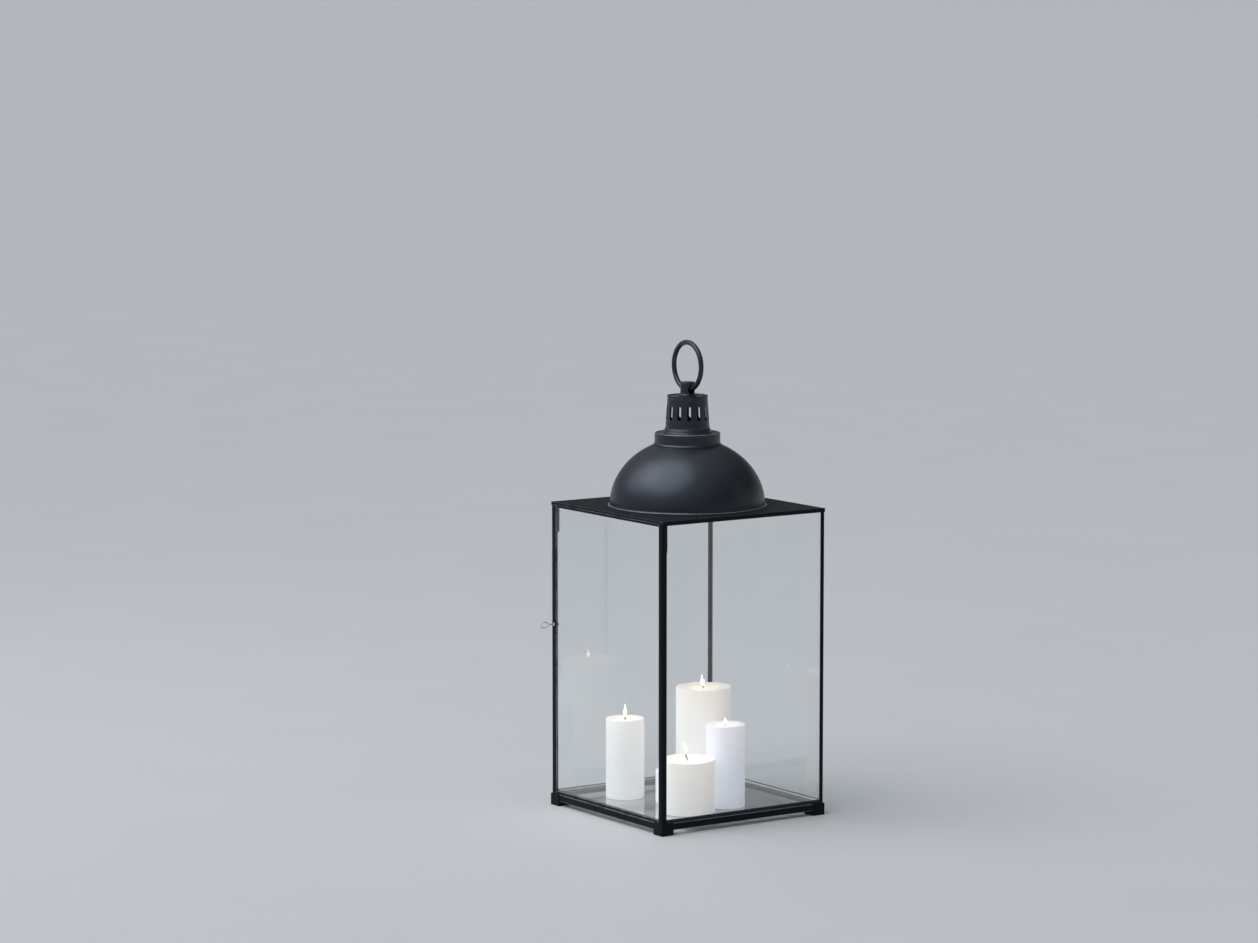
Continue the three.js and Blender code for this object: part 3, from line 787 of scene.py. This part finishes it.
def add_corner_beads():
    """Small soldered blobs, painted over, where the roof's rims meet."""
    radius = 2.0 * MM
    inset = 1.1 * MM
    drop = 1.6 * MM
    for corner, side in zip(CORNERS, SIDES):
        low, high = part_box(f"rim_{side}")
        outer = max(high.x, high.y, -low.x, -low.y)
        x = outer if "right" in corner else -outer
        y = outer if "back" in corner else -outer
        centre = (x - math.copysign(inset, x), y - math.copysign(inset, y))
        z = high.z - drop
        profile = [(0, z - radius), *arc(0, z, radius, -80, 80, 12), (0, z + radius)]
        seed = Vector((x, y, z)) * 70

        def blob(angle, r, height):
            swell = noise.noise(seed + Vector((math.cos(angle), math.sin(angle), height * 400)))
            return r * (1 + 0.16 * swell), height + 0.12 * swell * MM

        verts, faces = lathe(profile, 28, centre, blob)
        piece(f"rim_bead_{corner}", verts, faces, COAT, "frame", "coated")


# ---- the catch ----


def add_catch_loop():
    """Bent wire on a riveted spindle that passes through the stile."""
    low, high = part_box("catch_loop")
    middle = (low + high) / 2
    half_height = (high.z - low.z) / 2 - LOOP_WIRE
    far = low.x + LOOP_WIRE
    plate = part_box("catch_plate")[0].x
    stem_reach = 12.7 * MM
    near = plate - stem_reach
    mid = (near + far) / 2
    shape = [(near + 1.5 * MM, 0.08), (near - 2.5 * MM, 0.68), (mid, 1.0), (far + 2.6 * MM, 0.72)]
    upper = [Vector((x, middle.y, middle.z + share * half_height)) for x, share in shape]
    lower = [Vector((p.x, p.y, 2 * middle.z - p.z)) for p in reversed(upper)]
    path = smooth_path([*upper, Vector((far, middle.y, middle.z)), *lower], 8)
    wire = sweep(path, [LOOP_WIRE] * len(path), 14)

    head_end = near - 0.5 * MM
    sections = [
        (head_end, 1.4),
        (head_end + 0.5 * MM, 2.0),
        (head_end + 2.5 * MM, 2.0),
        (head_end + 3 * MM, 1.5),
        (plate - 1.6 * MM, 1.5),
        (plate - 1.3 * MM, 3.1),
        (plate - 0.4 * MM, 3.1),
        (plate - 0.2 * MM, 1.5),
        (high.x, 1.5),
    ]
    stem_path = [Vector((x, middle.y, middle.z)) for x, _ in sections]
    stem = sweep(stem_path, [radius * MM for _, radius in sections], 24)
    verts, faces = joined(wire, stem)
    piece("catch_wire", verts, faces, STEEL, "catch", "steel", ["catch_loop"])


# ---- candles ----


def dish_z(rim_z, r, radius):
    """The height of a candle's top at a distance from its middle."""
    return rim_z - DISH_LIP - DISH * smoothstep((0.94 * radius - r) / (0.62 * radius))


def set_glow(made, flame_foot, reach):
    """Stores how strongly each point takes the painted glow of a flame."""
    glow = made.data.attributes.new("glow", "FLOAT", "POINT")
    for vertex, value in zip(made.data.vertices, glow.data):
        if flame_foot:
            value.value = math.exp(-(vertex.co - flame_foot).length / reach)


def add_candle(name, burn):
    low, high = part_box(f"candle_{name}")
    body = f"candle_{name}"
    radius = (high.x - low.x) / 2
    centre = ((low.x + high.x) / 2, (low.y + high.y) / 2)
    dish = high.z - DISH
    seed = burn["seed"] * 7.3
    lit = burn["flame"] > 0
    middle = Vector((*centre, 0))
    flame_foot = middle + Vector((0, 0, dish + burn["foot"] * MM)) if lit else None

    def hand_made(angle, r, z):
        """Slightly out of round, with a rim that rises and sinks as it burned."""
        spot = Vector((math.cos(angle), math.sin(angle), 0))
        wall = noise.noise(spot * 1.6 + Vector((seed, 0, z * 14)))
        wave = noise.noise(spot * 1.9 + Vector((0, seed, 0)))
        near_top = smoothstep((z - dish + 9 * MM) / (12 * MM))
        from_middle = smoothstep((r / radius - 0.45) / 0.5)
        lift = near_top * from_middle * (0.55 * wave - 0.25) * 2 * MM
        return r + 0.2 * MM * wall * from_middle - near_top * from_middle * 0.35 * MM * abs(wave), z + lift

    ease = 1.5 * MM
    rim = 1.3 * MM
    rows = 16
    foot_z, wall_top = low.z + ease, high.z - rim
    profile = [(0, low.z), (radius - ease, low.z), *arc(radius - ease, foot_z, ease, -60, 0, 3)]
    profile += [(radius, foot_z + (wall_top - foot_z) * (i / rows)) for i in range(1, rows)]
    profile += arc(radius - rim, wall_top, rim, 0, 100, 6)
    dish_edge = radius - rim - 0.2 * MM
    inner_rows = 22
    for i in range(1, inner_rows):
        r = dish_edge * (1 - i / inner_rows)
        profile.append((r, dish_z(high.z, r, radius)))
    profile.append((0, high.z - DISH_LIP - DISH))
    verts, faces = lathe(profile, 112, centre, hand_made)
    made = piece(f"pillar_{name}", verts, faces, WAX[burn["wax"]], body, "wax", [body], 60)
    set_glow(made, flame_foot, GLOW_REACH * radius)
    add_wick(name, burn, middle, dish, body)
    if lit:
        add_pool(name, radius, centre, high.z, body, flame_foot)
        add_flame(name, burn, flame_foot, body)


def add_pool(name, radius, centre, rim_z, body, flame_foot):
    """A thin lens of liquid wax that fills the bottom of the dish and creeps up at its edge."""
    level = rim_z - DISH - DISH_LIP + POOL_DEPTH
    steps = 16
    tries = 200
    distances = [radius * k / tries for k in range(tries)]
    edge = next(r for r in distances if dish_z(rim_z, r, radius) > level)
    under, over = [], []
    for i in range(steps + 1):
        r = edge * i / steps
        bed = dish_z(rim_z, r, radius)
        creep = 0.25 * MM * smoothstep((i / steps - 0.8) / 0.2)
        under.append((r, bed - 0.2 * MM))
        over.append((r, level + creep))
    outline = [*under, *reversed(over)]

    def wander(angle, r, z):
        return r * (1 + 0.025 * math.sin(3 * angle + radius * 900)), z

    verts, faces = lathe(outline, 72, centre, wander)
    made = piece(f"melt_pool_{name}", verts, faces, POOL, body, "wax")
    set_glow(made, flame_foot, GLOW_REACH * radius)


def add_wick(name, burn, middle, dish, body):
    """A braided wick, bent over at its charred tip."""
    length = burn["wick"] * MM
    lean = DRIFT * burn["lean"] * 0.75 * MM
    sunk = -1.5 * MM
    steps = 16
    path, radii = [], []
    for i in range(steps + 1):
        t = i / steps
        up = dish + sunk + (length - sunk) * (t - 0.08 * t**3)
        path.append(middle + Vector((0, 0, up)) + lean * t**2.2)
        ragged = noise.noise(Vector((burn["seed"], t * 9, 0)))
        radii.append((1.15 - 0.35 * t**3 + 0.12 * ragged) * MM)
    verts, faces = sweep(path, radii, 16)
    piece(f"burnt_wick_{name}", verts, faces, WICK, body, "wick", [f"wick_{name}"], 70)


def flame_shape(foot, height, width, lean, steps=22):
    """A teardrop: full at a third of its height, drawn out to a point that drifts with the air."""
    path, radii = [], []
    for i in range(steps + 1):
        t = i / steps
        swell = math.sin(math.pi * max(t, 0.01) ** 0.6) ** 0.85 * (1.02 - t) ** 0.35
        path.append(foot + Vector((0, 0, height * t)) + lean * smoothstep(t) * 0.5)
        radii.append(max(width / 2 * swell, 0.05 * MM))
    return sweep(path, radii, 24)


def add_flame(name, burn, foot, body):
    height = burn["flame"] * MM
    width = (3.2 + 0.14 * burn["flame"]) * MM
    bend = DRIFT * burn["lean"] * MM
    start = foot + bend * 0.55
    outer = flame_shape(start, height, width, bend)
    inner = flame_shape(start + Vector((0, 0, 0.1 * height)), height * 0.8, width * 0.66, bend * 0.85)
    veil = piece(f"flame_veil_{name}", *outer, FLAME_VEIL, body, None)
    core = piece(f"flame_core_{name}", *inner, FLAME_CORE, body, None)
    for part in (veil, core):
        part.visible_shadow = False
    lamp = bpy.data.lights.new(f"flame_light_{name}", "POINT")
    lamp.energy = FLAME_POWER * burn["flame"]
    lamp.color = (1.0, 0.70, 0.46)
    lamp.shadow_soft_size = 3 * MM
    glow = bpy.data.objects.new(f"flame_light_{name}", lamp)
    bpy.context.scene.collection.objects.link(glow)
    glow.location = start + Vector((0, 0, 0.45 * height))
    glow.parent = core
    glow.matrix_parent_inverse = core.matrix_world.inverted()


# ---- studio ----


def add_stage():
    """A wide, level, pale floor."""
    profile = [(radius, 0) for radius in (260, 60, 20, 6, 2, 0.6, 0)]
    verts, faces = lathe(profile, 96)
    mesh = bpy.data.meshes.new("studio_floor")
    mesh.from_pydata(verts, [], faces)
    mesh.materials.append(studio_floor())
    mesh.shade_smooth()
    stage = bpy.data.objects.new("studio_floor", mesh)
    bpy.context.scene.collection.objects.link(stage)


def add_softbox(name, place, target, size, power, colour):
    lamp = bpy.data.lights.new(name, "AREA")
    lamp.shape = "RECTANGLE"
    lamp.size, lamp.size_y = size
    lamp.energy = power
    lamp.color = colour
    box = bpy.data.objects.new(name, lamp)
    box.location = place
    box.rotation_euler = (Vector(target) - Vector(place)).to_track_quat("-Z", "Y").to_euler()
    bpy.context.scene.collection.objects.link(box)


def add_world():
    """Soft light from all round: brightest high on the left, dimmest high on the right, with a low
    haze that is as pale as the floor where the two meet."""
    world = bpy.data.worlds.new("studio")
    world.use_nodes = True
    nodes, links = world.node_tree.nodes, world.node_tree.links

    def span(value, low, high):
        node = nodes.new("ShaderNodeMapRange")
        node.interpolation_type = "SMOOTHSTEP"
        node.inputs["From Min"].default_value = low
        node.inputs["From Max"].default_value = high
        links.new(value, node.inputs["Value"])
        return node.outputs["Result"]

    def mix(factor, a, b):
        node = nodes.new("ShaderNodeMix")
        node.data_type = "RGBA"
        links.new(factor, node.inputs[0])
        node.inputs[6].default_value = a
        if isinstance(b, bpy.types.NodeSocket):
            links.new(b, node.inputs[7])
        else:
            node.inputs[7].default_value = b
        return node.outputs[2]

    look_along = nodes.new("ShaderNodeTexCoord").outputs["Generated"]
    towards = nodes.new("ShaderNodeVectorMath")
    towards.operation = "DOT_PRODUCT"
    towards.inputs[1].default_value = SKY_MIDDLE
    links.new(look_along, towards.inputs[0])
    height = nodes.new("ShaderNodeSeparateXYZ")
    links.new(look_along, height.inputs[0])
    dim_side, bright_side = rgb(0.06, 0.062, 0.066), rgb(0.53, 0.57, 0.64)
    low_haze, like_the_floor = rgb(0.26, 0.273, 0.295), rgb(0.455, 0.482, 0.512)
    sky = mix(span(towards.outputs["Value"], -0.25, 0.95), dim_side, bright_side)
    sky = mix(span(height.outputs["Z"], 0.10, 0.32), low_haze, sky)
    sky = mix(span(height.outputs["Z"], 0.0, 0.10), like_the_floor, sky)
    links.new(sky, nodes["Background"].inputs["Color"])
    nodes["Background"].inputs["Strength"].default_value = 1.0
    bpy.context.scene.world = world


def add_lights():
    sky = bpy.data.lights.new("soft_sky", "SUN")
    sky.energy = SKY_POWER
    sky.angle = SKY_SPREAD
    sky.color = (0.92, 0.96, 1.0)
    high_left = bpy.data.objects.new("soft_sky", sky)
    high_left.rotation_euler = (-Vector(SKY_MIDDLE)).to_track_quat("-Z", "Y").to_euler()
    bpy.context.scene.collection.objects.link(high_left)
    lantern = (0, 0, 0.5)
    add_softbox("left_panel", (-1.9, 1.7, 2.7), lantern, (2.2, 2.2), 22, (0.86, 0.92, 1.0))
    add_softbox("right_fill", (3.4, -2.2, 1.9), lantern, (1.6, 2.0), 2, (1.0, 0.98, 0.96))


def add_camera():
    data = bpy.data.cameras.new("camera")
    data.sensor_width = 36
    data.lens = CAMERA["lens"]
    camera = bpy.data.objects.new("camera", data)
    turn, tilt = math.radians(CAMERA["turn"]), math.radians(CAMERA["tilt"])
    ahead = Vector((math.sin(turn) * math.cos(tilt), math.cos(turn) * math.cos(tilt), -math.sin(tilt)))
    camera.location = CAMERA["place"]
    camera.rotation_euler = ahead.to_track_quat("-Z", "Y").to_euler()
    bpy.context.scene.collection.objects.link(camera)
    bpy.context.scene.camera = camera


dress_frame()
add_dome()
add_collar()
add_vent_cap()
add_cap_lid()
add_boss()
add_ring()
add_corner_beads()
add_catch_loop()
for candle_name, how_it_burns in CANDLES.items():
    add_candle(candle_name, how_it_burns)
add_stage()
add_world()
add_lights()
add_camera()
bpy.context.scene.view_settings.view_transform = "Standard"
